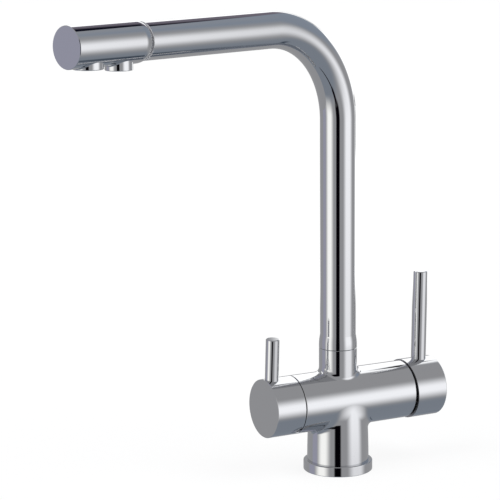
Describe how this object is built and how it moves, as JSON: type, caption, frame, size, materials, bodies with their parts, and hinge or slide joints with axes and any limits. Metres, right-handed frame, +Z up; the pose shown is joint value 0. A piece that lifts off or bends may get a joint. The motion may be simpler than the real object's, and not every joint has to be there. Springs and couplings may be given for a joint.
{
  "type": "kitchen tap",
  "caption": "Three way kitchen tap: barrel body on a column, swivel L-shaped spout with two outlets, mixer lever and filtered water lever.",
  "frame": {"origin": "centre of the base on the worktop, on the swivel axis", "axes": "+Z up along the swivel axis, +X along the barrel to the mixer lever, -Y towards the user"},
  "size_m": [0.3218, 0.0986, 0.3365],
  "materials": {
    "polished_chrome": "polished chrome plating on brass",
    "brass": "machined brass",
    "stainless_steel": "plain stainless steel",
    "acetal": "dark acetal",
    "rubber": "black rubber",
    "ceramic": "lapped alumina ceramic",
    "moulded_plastic": "grey moulded plastic"
  },
  "bodies": {
    "tap_body": {"body_casting": "polished_chrome", "inlet_block": "brass", "base_flange": "polished_chrome", "base_gasket": "rubber", "cartridge_housing": "moulded_plastic", "cartridge_port_seals": "rubber", "fixed_ceramic_disc": "ceramic", "cartridge_lock_nut": "brass", "dome_cover": "polished_chrome", "valve_body": "brass", "valve_seal": "rubber", "valve_fixed_disc": "ceramic", "filter_glide_ring": "acetal", "spout_slip_washer": "acetal", "spout_retaining_screw": "stainless_steel"},
    "spout": {"spout_tube": "polished_chrome", "spout_foot": "polished_chrome", "swivel_nipple": "brass", "nipple_o_rings": "rubber", "filtered_water_tube": "stainless_steel", "tube_end_ring": "polished_chrome", "head_shell": "polished_chrome", "head_end_cap": "polished_chrome", "filtered_water_elbow": "brass", "mixed_aerator_housing": "polished_chrome", "mixed_aerator_core": "moulded_plastic", "filtered_aerator_housing": "polished_chrome", "filtered_aerator_core": "moulded_plastic", "aerator_seals": "rubber"},
    "mixer_core": {"mixer_carrier": "moulded_plastic", "mixer_pivot_pin": "stainless_steel"},
    "mixer_slide": {"sliding_ceramic_disc": "ceramic", "disc_holder": "moulded_plastic"},
    "mixer_handle": {"mixer_stem": "stainless_steel", "mixer_handle_cap": "polished_chrome", "mixer_lever": "polished_chrome", "mixer_set_screw": "stainless_steel"},
    "filter_handle": {"valve_turning_disc": "ceramic", "valve_spindle": "brass", "valve_spindle_ring": "rubber", "filter_handle_cap": "polished_chrome", "filter_lever": "polished_chrome", "filter_set_screw": "stainless_steel"}
  },
  "joints": [
    {"name": "spout_swivel", "type": "hinge", "parent": "tap_body", "child": "spout", "pos_m": [0, 0, 0.0902], "axis": [0, 0, 1], "continuous": true},
    {"name": "mixer_temperature", "type": "hinge", "parent": "tap_body", "child": "mixer_core", "pos_m": [0.042, 0, 0.0525], "axis": [1, 0, 0], "range_deg": [-45, 45]},
    {"name": "mixer_flow", "type": "hinge", "parent": "mixer_core", "child": "mixer_handle", "pos_m": [0.042, 0, 0.0525], "axis": [0, 0.9996, 0.0279], "range_deg": [0, 20]},
    {"name": "mixer_disc_slide", "type": "slide", "parent": "mixer_core", "child": "mixer_slide", "axis": [0, -0.0279, 0.9996], "range_m": [0, 0.00279]},
    {"name": "filter_quarter_turn", "type": "hinge", "parent": "tap_body", "child": "filter_handle", "pos_m": [-0.0559, 0, 0.0525], "axis": [1, 0, 0], "range_deg": [0, 90]}
  ],
  "couplings": [
    {"joint": "mixer_disc_slide", "follows": "mixer_flow", "m_per_rad": 0.007985}
  ]
}
